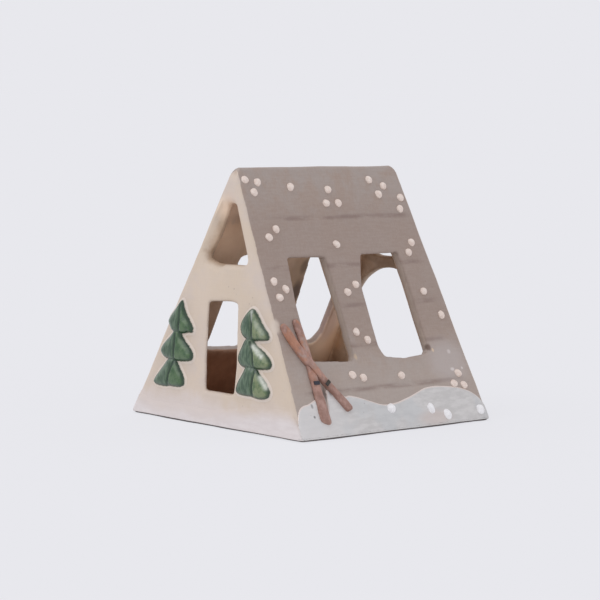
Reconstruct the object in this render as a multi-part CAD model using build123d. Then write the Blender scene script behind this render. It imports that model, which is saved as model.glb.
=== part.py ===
from build123d import *
import os
from math import atan2, degrees, hypot, radians, tan

os.makedirs("parts", exist_ok=True)

# A small stoneware house with steep roof slabs that run down to the table, made to hold one tealight.
# The slabs are luted together and fired. Fir trees, a pair of skis, snow drifts and drops of snow sit
# on them in low relief. Millimetres, +Z up, origin at the middle of the base; the front gable with the
# door faces -Y and the roof with the skis faces +X.

# The house: sharp outer form before its edges are rounded
base_width = 114.0
base_length = 116.0
apex_height = 115.0
gable_lean = 9.0
edge_radius = 2.0
foot_radius = 1.0

# Slabs
roof_thick = 4.8
gable_thick = 4.8
floor_thick = 6.0

# Roof windows, two a side: cut by hand, so their corners wander. Sills and heads are measured along
# the slope, from the foot and from the ridge, and the ends along the base; what is left after the
# pillar is the two windows' width, and the front one has its share of it. The right heads were cut
# with the knife held level, so that they rise inwards.
right_window_sill = 34.5
right_window_head = 45.3
right_window_front_end = 20.0
right_window_back_end = 25.0
right_window_pillar = 17.0
right_front_window_share = 0.463
right_window_corner_radius = 1.6
right_window_head_rise = 2.8
left_window_sill = 32.5
left_window_head = 45.3
left_window_front_end = 27.8
left_window_back_end = 17.0
left_window_pillar = 19.7
left_front_window_share = 0.485
left_window_corner_radius = 3.2
window_bend_radius = 14.0
window_rim_bevel = 0.6
right_front_shares = ((-0.52, 0.02), (0.4, -0.01), (0.48, 0.03), (0.52, 0.5), (0.54, 0.99), (-0.355, 1.0),
                      (-0.48, 0.55))
right_back_shares = ((-0.45, 0.01), (-0.06, -0.02), (0.42, 0.0), (0.51, 0.04), (0.52, 0.7), (0.5, 1.0),
                     (-0.29, 1.0), (-0.38, 0.86), (-0.48, 0.68), (-0.52, 0.1))
left_front_shares = ((-0.52, 0.02), (0.38, -0.01), (0.46, 0.03), (0.52, 0.5), (0.54, 0.99), (-0.39, 1.0),
                     (-0.49, 0.6))
left_back_shares = ((-0.4, 0.01), (0.0, -0.02), (0.38, 0.0), (0.51, 0.1), (0.52, 0.7), (0.5, 1.0),
                    (-0.53, 1.0), (-0.43, 0.45))

# Plank lines pressed across the roofs: heights up the slope and the stretches that show
plank_line_radius = 2.2
plank_line_depth = 0.35
plank_line_shares = (0.163, 0.317, 0.46, 0.61, 0.787)
plank_line_inset = 8.0
plank_window_gap = 3.5

# Loft openings near the top of both gables, and the clay left beside their foot and above their top
loft_width = 28.0
loft_side_gap = 7.8
loft_peak_gap = 15.5
loft_corner_radius = 2.0
loft_bend_radius = 5.0
loft_rim_bevel = 1.4
loft_corner_shares = ((-0.52, 0.07), (-0.24, 0.0), (0.5, 0.01), (0.07, 1.0))

# Door in the front gable, and the wall left between it and the loft opening. Its left side was cut
# aslant, so that the door is wider inside by its splay.
door_width = 20.0
door_sill = 15.2
door_lintel = 15.8
door_shift = 1.3
door_splay = 5.4
door_corner_radius = 1.3
door_bend_radius = 12.0
door_rim_bevel = 0.7
door_corner_shares = ((-0.44, 0.0), (0.49, 0.0), (0.5, 0.3), (0.4, 0.98), (0.15, 1.0), (-0.54, 0.97), (-0.5, 0.4))

# Arch in the back gable: it stands on the floor, and the tealight slides out through it
arch_side_gap = 3.0
arch_width = 62.0
arch_lintel = 5.0
arch_corner_radius = 9.0
arch_bend_radius = 24.0
arch_rim_bevel = 0.8
arch_half_shares = ((0.0, 1.0), (0.3, 0.975), (0.6, 0.89), (0.82, 0.74), (0.98, 0.5), (0.95, 0.2))

# Fir trees in relief on the front gable: each tier is a three-cornered pillow. Their width is a share
# of the wall between the door and the gable's edge.
tree_width_share = 0.649
tree_foot = 14.5
tree_door_drop = 1.2
tree_relief = 2.8
tree_lobe_radius = 2.0
tree_pillow_bevel = 1.1
tree_vein_width = 0.8
left_tree_gap = 7.4
right_tree_gap = 1.0
left_tree_tier_shares = (
    ((-0.5, 0.03), (0.36, 0.04), (0.03, 0.48)),
    ((-0.4, 0.33), (0.52, 0.34), (0.07, 0.78)),
    ((-0.24, 0.64), (0.49, 0.61), (0.13, 1.0)),
)
right_tree_tier_shares = (
    ((-0.43, 0.02), (0.45, 0.04), (-0.1, 0.48)),
    ((-0.44, 0.35), (0.47, 0.36), (-0.12, 0.78)),
    ((-0.45, 0.66), (0.37, 0.66), (-0.1, 1.0)),
)
tier_relief_shares = (0.84, 0.92, 1.0)

# Skis: bent clay strips laid across each other on the front end of the right roof
ski_width = 4.2
ski_relief = 1.7
ski_lap = 0.6
ski_end_radius = 1.4
ski_edge_bevel = 0.5
ski_bend_radius = 60.0
ski_reach = 47.5
ski_crossing_shares = ((-0.2, 0.96), (-0.16, 0.82), (-0.08, 0.65), (0.1, 0.38), (0.29, 0.1))
ski_upright_shares = ((-0.03, 1.0), (-0.022, 0.79), (-0.022, 0.56), (-0.03, 0.32), (-0.045, 0.0))
ski_end_gap = 17.5
ski_foot = 7.0
binding_length = 1.7
binding_thick = 0.5
crossing_binding_share = 0.69
upright_binding_share = 0.62

# Snow: raised drops of slip on the roofs, drifts along the roofs' feet and a bank along the front
drop_width = 3.8
drop_height = 1.2
drop_window_gap = 0.7
drop_sides = 6
drop_crown_share = 0.5
drop_shares = (
    (-0.96, 0.933), (-0.82, 0.922), (-0.89, 0.886), (-0.43, 0.903), (0.03, 0.89), (-0.04, 0.84), (0.11, 0.839),
    (0.61, 0.925), (0.77, 0.9), (0.67, 0.869), (0.94, 0.853), (0.88, 0.81), (-0.74, 0.75), (-0.85, 0.721),
    (-0.07, 0.686), (0.87, 0.681), (0.79, 0.644), (-0.92, 0.563), (-0.81, 0.534), (-0.9, 0.506), (0.01, 0.536),
    (-0.11, 0.51), (0.8, 0.495), (0.91, 0.403), (-0.15, 0.365), (-0.05, 0.334), (-0.34, 0.214), (-0.23, 0.201),
    (0.2, 0.196), (0.85, 0.184), (0.76, 0.148), (0.87, 0.139),
)
drift_drop_shares = ((-0.03, 0.084), (0.4, 0.068), (0.56, 0.04), (0.95, 0.044))
drift_height = 18.5
drift_thick = 0.8
drift_margin = 2.4
drift_bend_radius = 40.0
drift_crest_shares = (
    (0.0, 0.7), (0.07, 0.88), (0.17, 1.04), (0.28, 1.02), (0.38, 0.83), (0.48, 0.72),
    (0.57, 0.79), (0.68, 0.99), (0.78, 1.04), (0.89, 0.98), (0.96, 0.78), (1.0, 0.6),
)
bank_height = 11.0
bank_thick = 0.6
bank_crest_shares = ((0.0, 0.8), (0.12, 0.68), (0.3, 0.72), (0.5, 0.74), (0.66, 0.98), (0.85, 1.1), (1.0, 0.9))

# Tealight
tealight_width = 38.0
tealight_height = 15.5
cup_wall = 0.5
cup_rim = 0.9
wax_drop = 2.0
tab_width = 12.0
tab_thick = 0.5
tab_neck_width = 3.0
tab_neck_height = 3.5
wick_width = 1.6
wick_stand = 5.5
tealight_clearance = 0.2

# One overrun serves every cut, and one lip every slanted side. In a cut outline a turn of more than
# these degrees is a corner, and a rounding takes up to this share of the shorter side beside it.
overrun = 20.0
splay_lip = 1.0
corner_turn = 30.0
bend_room_share = 0.45

# Sizes that follow from those above
roof_slope = hypot(apex_height, base_width / 2)
gable_slope = hypot(apex_height, gable_lean)
loft_sill = apex_height * (1 - (loft_width / 2 + loft_side_gap) / (base_width / 2))
loft_height = apex_height - loft_peak_gap - loft_sill
door_height = loft_sill - door_lintel - door_sill
arch_crown = loft_sill - arch_lintel
arch_foot_width = tealight_width + 2 * arch_side_gap
tree_height = door_sill + door_height - tree_door_drop - tree_foot
wall_beside_door = base_width / 2 * (1 - tree_foot / apex_height) - door_shift - door_width / 2
tree_width = tree_width_share * wall_beside_door
left_tree_place = door_shift - door_width / 2 - left_tree_gap - tree_width / 2
right_tree_place = door_shift + door_width / 2 + right_tree_gap + tree_width / 2
ski_place = ski_end_gap - base_length / 2


def roof_plane(side):
    """Outer face of a roof, x along the house and y up the slope; side is 1 on the right, -1 on the left."""
    return Plane(origin=(side * base_width / 2, 0, 0), x_dir=(0, side, 0),
                 z_dir=(side * apex_height, 0, base_width / 2))


def gable_plane(end):
    """Outer face of a gable, x across the house and y up the wall; end is -1 at the front, 1 at the back."""
    return Plane(origin=(0, end * base_length / 2, 0), x_dir=(-end, 0, 0), z_dir=(0, end * apex_height, gable_lean))


def house_form(roof_inset, gable_inset, foot):
    """The sharp form above a height, its roofs and gables moved in by their insets."""
    half_width = base_width / 2 - roof_inset * roof_slope / apex_height
    half_length = base_length / 2 - gable_inset * gable_slope / apex_height
    top = apex_height * half_width / (base_width / 2)

    def along(height):
        return half_length - gable_lean * height / apex_height

    foot_width = half_width - base_width / 2 * foot / apex_height
    end_view = [(-foot_width, foot), (foot_width, foot), (0, top)]
    side_view = [(-along(foot), foot), (along(foot), foot), (along(top), top), (-along(top), top)]
    prism = extrude(Plane.XZ * Polygon(*end_view, align=None), base_length, both=True)
    return prism & extrude(Plane.YZ * Polygon(*side_view, align=None), base_width, both=True)


def rounded_form():
    """The outer form with its ridge, corners and foot rounded."""
    form = house_form(0, 0, 0)
    foot_edges = form.edges().group_by(Axis.Z)[0]
    upper_edges = [edge for edge in form.edges() if edge not in foot_edges]
    form = fillet(upper_edges, edge_radius)
    foot_edges = form.edges().group_by(Axis.Z)[0]
    return fillet(foot_edges, foot_radius)


def mitre_plane(side, end):
    """The plane in which a roof and a gable meet, facing the gable."""
    outer = Vector(side * base_width / 2, end * base_length / 2, 0)
    inner = Vector(side * (base_width / 2 - roof_thick * roof_slope / apex_height),
                   end * (base_length / 2 - gable_thick * gable_slope / apex_height), 0)
    upward = Vector(0, end * (base_length / 2 - gable_lean), apex_height) - outer
    facing = (outer - inner).cross(upward)
    if facing.Y * end < 0:
        facing = facing * -1
    return Plane(origin=outer, z_dir=facing)


def shell():
    """All four walls as one hollow form, open below."""
    return rounded_form() - house_form(roof_thick, gable_thick, -overrun)


def rims(piece, face_plane, lowest=0, highest=apex_height):
    """Outer rim edges of the openings whose middles lie between two heights."""
    outward = Axis(face_plane.origin, face_plane.z_dir)
    face = piece.faces().filter_by(face_plane).sort_by(outward)[-1]
    openings = [wire for wire in face.inner_wires() if lowest < wire.bounding_box().center().Z < highest]
    return [edge for wire in openings for edge in wire.edges()]


def cut_through(outline):
    return extrude(outline, overrun, both=True)


def slant_cut(outline, across, up, thick, lip):
    """An inward cut that starts under a lip and moves sideways and upwards on its way through a slab."""
    return extrude(Pos(0, 0, -lip) * outline, overrun, dir=Vector(across, up, lip - thick).normalized())


def corners(shares, width, height, left, bottom):
    """Points of an outline from their shares of its width, about its middle, and of its height."""
    return [(left + across * width, bottom + up * height) for across, up in shares]


def rounding(before, place, after, corner_radius, bend_radius):
    """The radius at one point of an outline: small at a corner, large at a slight bend."""
    arriving = place - before
    leaving = after - place
    turn = arriving.get_angle(leaving)
    wanted = corner_radius if turn > corner_turn else bend_radius
    room = bend_room_share * min(arriving.length, leaving.length)
    return min(wanted, room / tan(radians(turn) / 2)) if turn > 0 else wanted


def hand_cut(points, corner_radius, bend_radius):
    """A closed outline with rounded corners and bends."""
    places = [Vector(*point) for point in points]
    after = places[1:] + places[:1]
    before = places[-1:] + places[:-1]
    radii = [rounding(*three, corner_radius, bend_radius) for three in zip(before, places, after)]
    return make_face(FilletPolyline(*places, radius=radii, close=True))


def bent_line(points, bend_radius):
    """An open line with its bends rounded."""
    places = [Vector(*point) for point in points]
    radii = [rounding(*three, bend_radius, bend_radius) for three in zip(places, places[1:], places[2:])]
    return FilletPolyline(*places, radius=radii)


def window_outlines(side):
    """Both windows of a roof, in the plane of its face."""
    if side > 0:
        sill, head, pillar = right_window_sill, right_window_head, right_window_pillar
        ends, front_share = (right_window_front_end, right_window_back_end), right_front_window_share
        radius, tables = right_window_corner_radius, (right_front_shares, right_back_shares)
    else:
        sill, head, pillar = left_window_sill, left_window_head, left_window_pillar
        ends, front_share = (left_window_front_end, left_window_back_end), left_front_window_share
        radius, tables = left_window_corner_radius, (left_front_shares, left_back_shares)
    height = roof_slope - sill - head
    glass_width = base_length - sum(ends) - pillar
    widths = (front_share * glass_width, (1 - front_share) * glass_width)
    middles = (ends[0] + widths[0] / 2 - base_length / 2, base_length / 2 - ends[1] - widths[1] / 2)
    outlines = []
    for middle, width, shares in zip(middles, widths, tables):
        turned = [(across * side, up) for across, up in shares]
        points = corners(turned, width, height, middle * side, sill)
        outlines.append(hand_cut(points, radius, window_bend_radius))
    return outlines


def plank_lines(side):
    """Shallow round grooves across a roof, broken at the windows."""
    lines = []
    for share in plank_line_shares:
        run = base_length - 2 * plank_line_inset - 2 * gable_lean * share
        line = Cylinder(plank_line_radius, run, rotation=(0, 90, 0))
        lines.append(Pos(0, share * roof_slope, plank_line_radius - plank_line_depth) * line)
    clear = []
    for outline in window_outlines(side):
        box = outline.bounding_box()
        wider = Rectangle(box.size.X + 2 * plank_window_gap, box.size.Y + 2 * plank_window_gap)
        clear.append(cut_through(Pos(box.center()) * wider))
    return roof_plane(side) * (Part() + lines - clear)


def roof_slab(walls, side):
    """One roof: the walls between the ridge and two mitres, with its windows cut."""
    slab = split(walls, bisect_by=Plane.YZ, keep=Keep.TOP if side > 0 else Keep.BOTTOM)
    for end in (-1, 1):
        slab = split(slab, bisect_by=mitre_plane(side, end), keep=Keep.BOTTOM)
    face = roof_plane(side)
    cuts = [cut_through(outline) for outline in window_outlines(side)]
    if side > 0:
        cuts += [slant_cut(outline, 0, right_window_head_rise, roof_thick, splay_lip)
                 for outline in window_outlines(side)]
    slab = slab - [face * cut for cut in cuts]
    return chamfer(rims(slab, face), window_rim_bevel)


def loft_cut(end):
    shares = [(across * -end, up) for across, up in loft_corner_shares]
    points = corners(shares, loft_width, loft_height, 0, loft_sill)
    return cut_through(gable_plane(end) * hand_cut(points, loft_corner_radius, loft_bend_radius))


def door_cut():
    points = corners(door_corner_shares, door_width, door_height, door_shift, door_sill)
    outline = hand_cut(points, door_corner_radius, door_bend_radius)
    return gable_plane(-1) * (cut_through(outline) + slant_cut(outline, -door_splay, 0, gable_thick, splay_lip))


def arch_cut():
    """The back opening: it stands on the floor, swells to its full width and closes in a round crown."""
    rise = arch_crown - floor_thick
    half = corners(arch_half_shares, arch_width / 2, rise, 0, floor_thick)
    half.append((arch_foot_width / 2, floor_thick))
    points = half + [(-across, up) for across, up in half[:0:-1]]
    return cut_through(gable_plane(1) * hand_cut(points, arch_corner_radius, arch_bend_radius))


def gable_slab(walls, end):
    """One gable: the walls beyond both of its mitres, with its openings cut."""
    slab = walls
    for side in (1, -1):
        slab = split(slab, bisect_by=mitre_plane(side, end), keep=Keep.TOP)
    slab = slab - loft_cut(end)
    slab = slab - (door_cut() if end < 0 else arch_cut())
    slab = chamfer(rims(slab, gable_plane(end), highest=loft_sill), door_rim_bevel if end < 0 else arch_rim_bevel)
    return chamfer(rims(slab, gable_plane(end), lowest=loft_sill), loft_rim_bevel)


def floor_plate():
    """The slab between the feet of the walls, its edges bevelled to meet them."""
    return split(house_form(roof_thick, gable_thick, 0), bisect_by=Plane.XY.offset(floor_thick), keep=Keep.BOTTOM)


def tree_tier(points, relief):
    """One tier: a three-cornered pillow with a vein down its middle."""
    pillow = extrude(hand_cut(points, tree_lobe_radius, tree_lobe_radius), relief)
    pillow = chamfer(pillow.faces().sort_by(Axis.Z)[-1].edges(), tree_pillow_bevel)
    top = Vector(*points[2], relief)
    foot = (Vector(*points[0], relief) + Vector(*points[1], relief)) * 0.5
    length = (top - foot).length
    blade = Box(2 * length, tree_vein_width, tree_vein_width, rotation=(45, 0, 0))
    return pillow - Plane(origin=foot, x_dir=top - foot, z_dir=(0, 0, 1)) * blade


def fir_tree(place, tier_shares):
    """A fir of three tiers, lowest first, each upper one standing a little prouder."""
    tree = Part()
    for shares, relief_share in zip(tier_shares, tier_relief_shares):
        points = corners(shares, tree_width, tree_height, place, tree_foot)
        tree = tree + tree_tier(points, relief_share * tree_relief)
    return gable_plane(-1) * tree


def ski_line(shares):
    points = corners(shares, ski_reach, ski_reach, ski_place, ski_foot)
    return bent_line(points, ski_bend_radius)


def ski_strip(shares, relief):
    """A strip bent along its points, with rounded ends, in the plane of the roof's face."""
    line = ski_line(shares)
    strip = trace(line, ski_width)
    tips = [tip for end in (0, 1) for tip in strip.vertices().sort_by_distance(line @ end)[:2]]
    strip = fillet(tips, ski_end_radius)
    ski = extrude(strip, relief)
    return chamfer(ski.faces().sort_by(Axis.Z)[-1].edges(), ski_edge_bevel)


def skis():
    """Both skis and their bindings: the crossing ski laps over the upright one."""
    upright = ski_strip(ski_upright_shares, ski_relief)
    crossing = ski_strip(ski_crossing_shares, ski_relief + ski_lap) - upright
    bindings = []
    for shares, down_share, relief in ((ski_upright_shares, upright_binding_share, ski_relief),
                                       (ski_crossing_shares, crossing_binding_share, ski_relief + ski_lap)):
        line = ski_line(shares)
        place, heading = line @ down_share, line % down_share
        seat = Plane(origin=(place.X, place.Y, relief), x_dir=(heading.X, heading.Y, 0), z_dir=(0, 0, 1))
        strap = Box(binding_length, ski_width - 2 * ski_edge_bevel, binding_thick,
                    align=(Align.CENTER, Align.CENTER, Align.MIN))
        bindings.append(seat * strap)
    face = roof_plane(1)
    return face * upright, face * crossing, face * Compound(bindings)


def drop():
    """One drop of slip: a low dome of a few flat faces, because there are so many of them."""
    lean = degrees(atan2((1 - drop_crown_share) * drop_width / 2, drop_height))
    return extrude(RegularPolygon(drop_width / 2, drop_sides), drop_height, taper=lean)


def drops(side):
    """The drops of one roof: none hangs over a window, and those on the drift stand on its face."""
    single = drop()
    windows = window_outlines(side)
    reach = drop_width / 2 + drop_window_gap
    placed = []
    for shares, seat in ((drop_shares, 0), (drift_drop_shares, drift_thick)):
        for along, up in shares:
            half_length = base_length / 2 - gable_lean * up - edge_radius
            spot = Vertex(along * half_length, up * roof_slope, 0)
            if min(window.distance_to(spot) for window in windows) > reach:
                placed.append(roof_plane(side) * Pos(spot.X, spot.Y, seat) * single)
    return placed


def drift_layer(width, lean, crest_shares, height, thick):
    """A thin layer along the foot of a face, with a wandering crest and its margin kept off the corners."""
    half = width / 2 - drift_margin
    lower = foot_radius
    crest = [((share - 0.5) * 2 * (half - lean * height / apex_height), up * height) for share, up in crest_shares]
    line = bent_line(crest, drift_bend_radius)
    sides = Polyline(crest[0], (-half, lower), (half, lower), crest[-1])
    return extrude(make_face([line, sides]), thick)


def snow_drift(side, skis_on_it, drops_on_it):
    drift = drift_layer(base_length, gable_lean, drift_crest_shares, drift_height, drift_thick)
    drift = roof_plane(side) * drift
    return drift - skis_on_it - drops_on_it


def snow_bank():
    bank = drift_layer(base_width, base_width / 2, bank_crest_shares, bank_height, bank_thick)
    return gable_plane(-1) * bank


def tealight():
    """The tealight standing on the floor: cup, wax, square plaited wick and the tab that holds it."""
    seat = floor_thick + tealight_clearance
    outer = Pos(0, 0, seat) * Cylinder(tealight_width / 2 - cup_rim, tealight_height,
                                       align=(Align.CENTER, Align.CENTER, Align.MIN))
    rim = Pos(0, 0, seat + tealight_height - cup_rim) * Cylinder(tealight_width / 2, cup_rim,
                                                                align=(Align.CENTER, Align.CENTER, Align.MIN))
    bore = tealight_width / 2 - cup_rim - cup_wall
    hollow = Pos(0, 0, seat + cup_wall) * Cylinder(bore, tealight_height,
                                                   align=(Align.CENTER, Align.CENTER, Align.MIN))
    cup = outer + rim - hollow
    tab = Cylinder(tab_width / 2, tab_thick, align=(Align.CENTER, Align.CENTER, Align.MIN))
    tab = tab + Cylinder(tab_neck_width / 2, tab_neck_height, align=(Align.CENTER, Align.CENTER, Align.MIN))
    tab = tab - Box(wick_width, wick_width, tab_neck_height, align=(Align.CENTER, Align.CENTER, Align.MIN))
    tab = Pos(0, 0, seat + cup_wall) * tab
    wax_height = tealight_height - cup_wall - wax_drop
    wick = Pos(0, 0, seat + cup_wall) * Box(wick_width, wick_width, wax_height + wick_stand,
                                            align=(Align.CENTER, Align.CENTER, Align.MIN))
    wax = Pos(0, 0, seat + cup_wall) * Cylinder(bore, wax_height, align=(Align.CENTER, Align.CENTER, Align.MIN))
    wax = wax - tab - wick
    return cup, wax, wick, tab


def save(shape, name):
    export_step(shape, "parts/" + name + ".step")


walls = shell()
right_roof = roof_slab(walls, 1) - plank_lines(1)
left_roof = roof_slab(walls, -1) - plank_lines(-1)
front_gable = gable_slab(walls, -1)
back_gable = gable_slab(walls, 1)
ski_upright, ski_crossing, ski_bindings = skis()
right_drops = drops(1)
left_drops = drops(-1)

save(right_roof, "right_roof")
save(left_roof, "left_roof")
save(front_gable, "front_gable")
save(back_gable, "back_gable")
save(floor_plate(), "floor_plate")
save(fir_tree(left_tree_place, left_tree_tier_shares), "fir_tree_left")
save(fir_tree(right_tree_place, right_tree_tier_shares), "fir_tree_right")
save(ski_upright, "ski_upright")
save(ski_crossing, "ski_crossing")
save(ski_bindings, "ski_bindings")
save(Compound(right_drops), "snow_dots_right")
save(Compound(left_drops), "snow_dots_left")
save(snow_drift(1, [ski_upright, ski_crossing], right_drops), "snow_drift_right")
save(snow_drift(-1, [], left_drops), "snow_drift_left")
save(snow_bank(), "snow_bank_front")
cup, wax, wick, tab = tealight()
save(cup, "tealight_cup")
save(wax, "tealight_wax")
save(wick, "tealight_wick")
save(tab, "wick_tab")
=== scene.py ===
from math import cos, exp, hypot, pi, radians, sin

import bmesh
import bpy
import numpy as np
from mathutils import Matrix, Vector, noise
from mathutils.bvhtree import BVHTree


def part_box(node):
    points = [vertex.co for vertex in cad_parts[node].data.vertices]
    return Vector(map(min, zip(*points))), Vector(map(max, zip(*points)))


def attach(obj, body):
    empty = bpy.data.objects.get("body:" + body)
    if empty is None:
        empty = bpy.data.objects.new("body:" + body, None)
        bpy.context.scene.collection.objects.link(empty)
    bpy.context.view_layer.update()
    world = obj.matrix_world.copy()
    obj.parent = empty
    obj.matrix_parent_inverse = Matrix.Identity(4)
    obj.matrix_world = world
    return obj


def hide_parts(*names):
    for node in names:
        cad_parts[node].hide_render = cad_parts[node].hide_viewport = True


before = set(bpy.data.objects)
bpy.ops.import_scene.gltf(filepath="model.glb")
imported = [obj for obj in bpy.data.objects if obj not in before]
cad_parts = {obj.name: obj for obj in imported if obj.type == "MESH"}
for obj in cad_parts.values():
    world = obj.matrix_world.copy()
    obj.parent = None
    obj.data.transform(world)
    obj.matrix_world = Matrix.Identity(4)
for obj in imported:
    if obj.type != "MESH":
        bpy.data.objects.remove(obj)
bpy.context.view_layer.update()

# Lengths are in metres, apart from some tables in millimetres
MILLIMETRE = 0.001

# The house's sharp outer form, as in the part's source
BASE_WIDTH = 0.114
BASE_LENGTH = 0.116
APEX_HEIGHT = 0.115
GABLE_LEAN = 0.009
WALL_THICK = 0.0048
ROOF_SLOPE = hypot(APEX_HEIGHT, BASE_WIDTH / 2)
GABLE_SLOPE = hypot(APEX_HEIGHT, GABLE_LEAN)

# Clay: how coarsely the walls are remeshed, and how far hand work leaves them from flat
CLAY_VOXEL = 0.00065
CLAY_SMOOTHING = 4
BROAD_WAVE = 0.026
BROAD_DEPTH = 0.00030
FINE_WAVE = 0.0065
FINE_DEPTH = 0.00007
MERGE = 0.000005
FOOT_BAND = 0.0006

# Beside the loft opening's left edge, from foot to peak, the gable's face rolls inwards
LOFT_ROLL = ((-0.0040, 0.0705), (-0.0125, 0.0722), (-0.0146, 0.0755), (-0.0020, 0.0940))
ROLL_WIDTH = 0.0042
ROLL_DEPTH = 0.0016

# Near the loft opening's peak, its left edge stands outwards and its top a little higher
LOFT_PEAK = Vector((0.0010, 0.0985))
LOFT_SIDE_BLEND = (-0.0005, 0.0030)
LOFT_PUSH_HEIGHTS = (0.0815, 0.0960)
LOFT_RISE_HEIGHTS = (0.0940, 0.0985)
LOFT_CORE = 0.0004
LOFT_STRETCH = 0.0060
LOFT_PUSH = 0.0032
LOFT_RISE = 0.0010
RIDGE_END_RADIUS = 0.0100

# The corner of a window in the hidden roof that the photo shows sharper: its place, how far around it
# points shift, the share of that where they shift in full, and the shift
SHARP_CORNER = Vector((-0.0215, -0.0280, 0.0722))
SHARP_REACH = 0.0075
SHARP_CORE_SHARE = 0.3
SHARP_SHIFT = Vector((0.0006, -0.0026, 0.0012))

# Camera, fitted to the house's corners in the 600 pixel wide photograph
CAMERA_PLACE = Vector((0.74633, -0.70525, 0.14732))
CAMERA_AIM = Vector((-0.727662, 0.679744, -0.091953))
CAMERA_ROLL = radians(-1.135)
FOCAL_SHARE = 2296.9 / 600


def linked(name, mesh):
    """A new object in the scene that shows a mesh."""
    made = bpy.data.objects.new(name, mesh)
    bpy.context.scene.collection.objects.link(made)
    return made


def shown(shape, name):
    """Turn a bmesh into an object in the scene."""
    mesh = bpy.data.meshes.new(name)
    shape.to_mesh(mesh)
    shape.free()
    return linked(name, mesh)


def finished(shape, name, body, replaced):
    """Turn a bmesh into a smooth piece that rides on a body and stands for a CAD node."""
    piece = shown(shape, name)
    piece.data.shade_smooth()
    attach(piece, body)
    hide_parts(replaced)
    return piece


def merged_copy(*names):
    """Copies of CAD nodes in one bmesh, with their loose triangles merged."""
    shape = bmesh.new()
    for name in names:
        shape.from_mesh(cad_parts[name].data)
    bmesh.ops.remove_doubles(shape, verts=shape.verts, dist=MERGE)
    return shape


def remeshed(shape, voxel):
    """The same form in even small faces, with whatever is inside it gone."""
    rough = shown(shape, "rough")
    mesh = rough.data
    remesh = rough.modifiers.new("remesh", "REMESH")
    remesh.mode = "VOXEL"
    remesh.voxel_size = voxel
    even = bpy.data.meshes.new_from_object(rough.evaluated_get(bpy.context.evaluated_depsgraph_get()))
    result = bmesh.new()
    result.from_mesh(even)
    bpy.data.objects.remove(rough)
    bpy.data.meshes.remove(mesh)
    bpy.data.meshes.remove(even)
    return result


def softened(shape, rounds, strength=0.5):
    """The same form with its edges and steps smoothed away, a little each round."""
    for _ in range(rounds):
        bmesh.ops.smooth_vert(shape, verts=shape.verts, factor=strength, use_axis_x=True, use_axis_y=True,
                              use_axis_z=True)
    shape.normal_update()
    return shape


def in_metres(rows):
    """Rows of millimetres turned into rows of metres."""
    return [[number * MILLIMETRE for number in row] for row in rows]


def smoothly(value, low, high):
    """0 below low, 1 above high and an even curve between."""
    share = min(max((value - low) / (high - low), 0), 1)
    return share * share * (3 - 2 * share)


def hand_wave(place):
    """How far hand work leaves a surface from flat at a place."""
    broad = noise.noise(place / BROAD_WAVE + Vector((3.1, 0.4, 7.7)))
    fine = noise.noise(place / FINE_WAVE + Vector((1.3, 5.2, 0.9)))
    return BROAD_DEPTH * broad + FINE_DEPTH * fine


def gable_depth(place):
    """Distance inwards from the nearer gable's outer face."""
    return ((BASE_LENGTH / 2 - abs(place.y)) * APEX_HEIGHT - place.z * GABLE_LEAN) / GABLE_SLOPE


# The walls


def rolled_in(place):
    """How far the front gable's face rolls inwards beside the loft opening's left edge and foot."""
    if place.y > 0 or not LOFT_ROLL[0][1] - ROLL_WIDTH < place.z < LOFT_ROLL[-1][1] + ROLL_WIDTH:
        return 0
    spot = Vector((place.x, place.z))
    away = min((spot - nearest_on(spot, Vector(start), Vector(end))).length
               for start, end in zip(LOFT_ROLL, LOFT_ROLL[1:]))
    outer = 1 - smoothly(gable_depth(place), 0, WALL_THICK)
    return ROLL_DEPTH * (1 - smoothly(away, 0, ROLL_WIDTH)) * outer


def widened(place):
    """How far the loft opening's left edge stands outwards near its peak, where the photo's is blunter."""
    if place.y > 0 or not LOFT_ROLL[1][1] < place.z < LOFT_PEAK.y + ROLL_WIDTH:
        return Vector()
    spot = Vector((place.x, place.z))
    away = (spot - nearest_on(spot, Vector(LOFT_ROLL[-2]), LOFT_PEAK)).length
    near = 1 - smoothly(away, LOFT_CORE, LOFT_STRETCH)
    left = 1 - smoothly(place.x - LOFT_PEAK.x, *LOFT_SIDE_BLEND)
    push = LOFT_PUSH * smoothly(place.z, *LOFT_PUSH_HEIGHTS) * near * left
    return Vector((-push, 0, LOFT_RISE * smoothly(place.z, *LOFT_RISE_HEIGHTS) * near))


def nearest_on(spot, start, end):
    """The place on a straight run that is nearest to a spot."""
    run = end - start
    share = min(max((spot - start).dot(run) / run.length_squared, 0), 1)
    return start + run * share


def ridge_end(place):
    """How far the ridge's two ends are worn round, seen from the side."""
    down, inwards = APEX_HEIGHT - place.z, gable_depth(place)
    out = Vector((RIDGE_END_RADIUS - inwards, RIDGE_END_RADIUS - down))
    if out.x <= 0 or out.y <= 0 or out.length <= RIDGE_END_RADIUS:
        return Vector()
    spare = out - out.normalized() * RIDGE_END_RADIUS
    return Vector((0, -spare.x if place.y > 0 else spare.x, -spare.y))


def clay_body():
    """All four walls as one soft, slightly uneven clay form."""
    shape = remeshed(merged_copy("right_roof", "left_roof", "front_gable", "back_gable"), CLAY_VOXEL)
    softened(shape, CLAY_SMOOTHING)
    for point in shape.verts:
        on_foot = point.co.z < FOOT_BAND
        move = widened(point.co) + Vector((0, rolled_in(point.co), 0)) + ridge_end(point.co)
        away = (point.co - SHARP_CORNER).length
        move += SHARP_SHIFT * (1 - smoothly(away, SHARP_CORE_SHARE * SHARP_REACH, SHARP_REACH))
        point.co += point.normal * hand_wave(point.co) + move
        if on_foot:
            point.co.z = max(point.co.z, 0)
    shape.normal_update()
    return shape


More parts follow.
